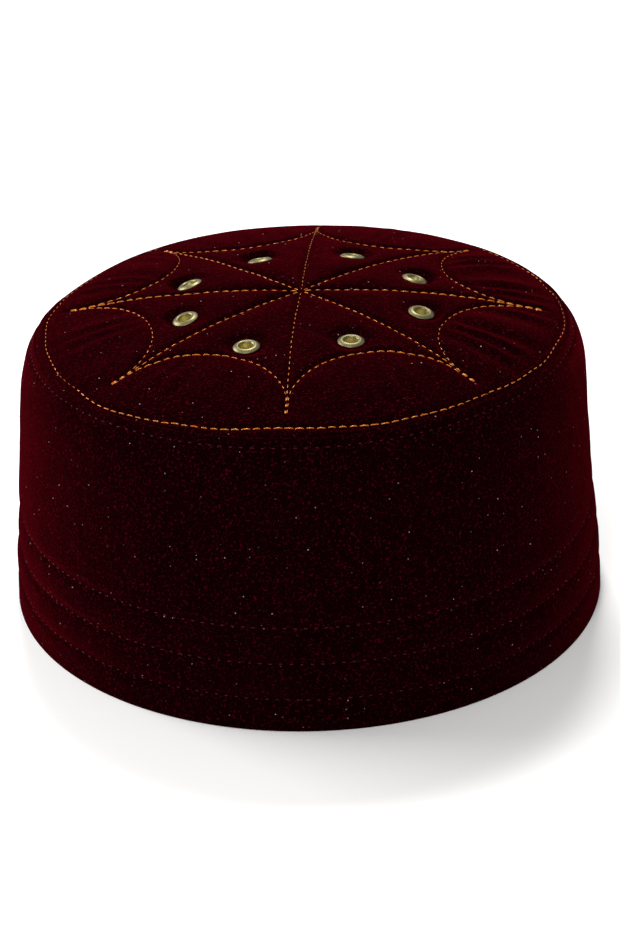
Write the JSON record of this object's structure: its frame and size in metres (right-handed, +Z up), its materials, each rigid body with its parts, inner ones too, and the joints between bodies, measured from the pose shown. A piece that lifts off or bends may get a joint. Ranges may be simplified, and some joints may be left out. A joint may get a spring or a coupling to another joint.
{
  "type": "fez hat",
  "caption": "Low brimless round velvet cap with an upright stitched wall, a quilted star-stitched crown and small metal air eyelets; the open rim rests on the head.",
  "frame": {"origin": "middle of the plane that the open rim rests in, at the base of the hat", "axes": "+Z up through the crown, -Y to the front and +X to the right of someone facing it"},
  "size_m": [0.1909, 0.1909, 0.0999],
  "materials": {
    "velvet": "short cut pile",
    "eyelet_brass": "dull",
    "gold_thread": "lustrous",
    "red_thread": "lustrous"
  },
  "bodies": {
    "root": {"side_band": "velvet", "crown_top": "velvet", "eyelet_1": "eyelet_brass", "eyelet_2": "eyelet_brass", "eyelet_3": "eyelet_brass", "eyelet_4": "eyelet_brass", "eyelet_5": "eyelet_brass", "eyelet_6": "eyelet_brass", "eyelet_7": "eyelet_brass", "eyelet_8": "eyelet_brass"}
  },
  "joints": []
}
